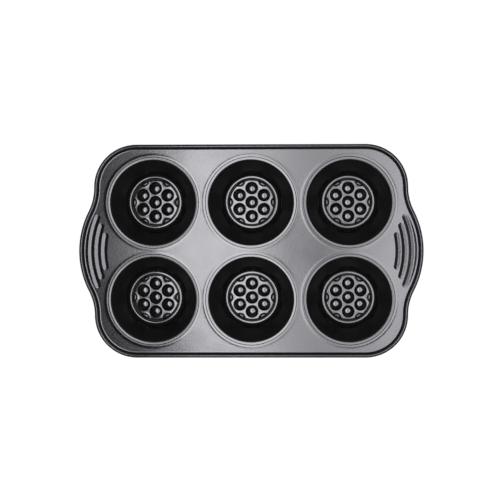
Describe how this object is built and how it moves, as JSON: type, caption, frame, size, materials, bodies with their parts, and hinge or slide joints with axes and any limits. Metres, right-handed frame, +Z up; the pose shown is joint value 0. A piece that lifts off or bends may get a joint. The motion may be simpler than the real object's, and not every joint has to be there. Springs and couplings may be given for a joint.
{
  "type": "muffin pan",
  "caption": "Shallow dark steel muffin pan with wing handles, wired rolled rim and tapered round cups whose floors are embossed with a honeycomb of domes",
  "frame": {"origin": "on the surface the pan stands on, under the middle of its outline", "axes": "+X along the length from handle to handle, +Y towards the back row of cups, +Z up out of the cup mouths"},
  "size_m": [0.3432, 0.2128, 0.042],
  "materials": {
    "tray_coating": "dark charcoal non-stick coating, satin with a fine grain",
    "cup_coating": "dark charcoal non-stick coating, a little glossier than the tray",
    "rim_wire_steel": "drawn steel wire, hidden in the rolled rim"
  },
  "bodies": {
    "root": {"tray_plate": "tray_coating", "rim_wire": "rim_wire_steel", "cup_back_left": "cup_coating", "cup_back_middle": "cup_coating", "cup_back_right": "cup_coating", "cup_front_left": "cup_coating", "cup_front_middle": "cup_coating", "cup_front_right": "cup_coating"}
  },
  "joints": []
}
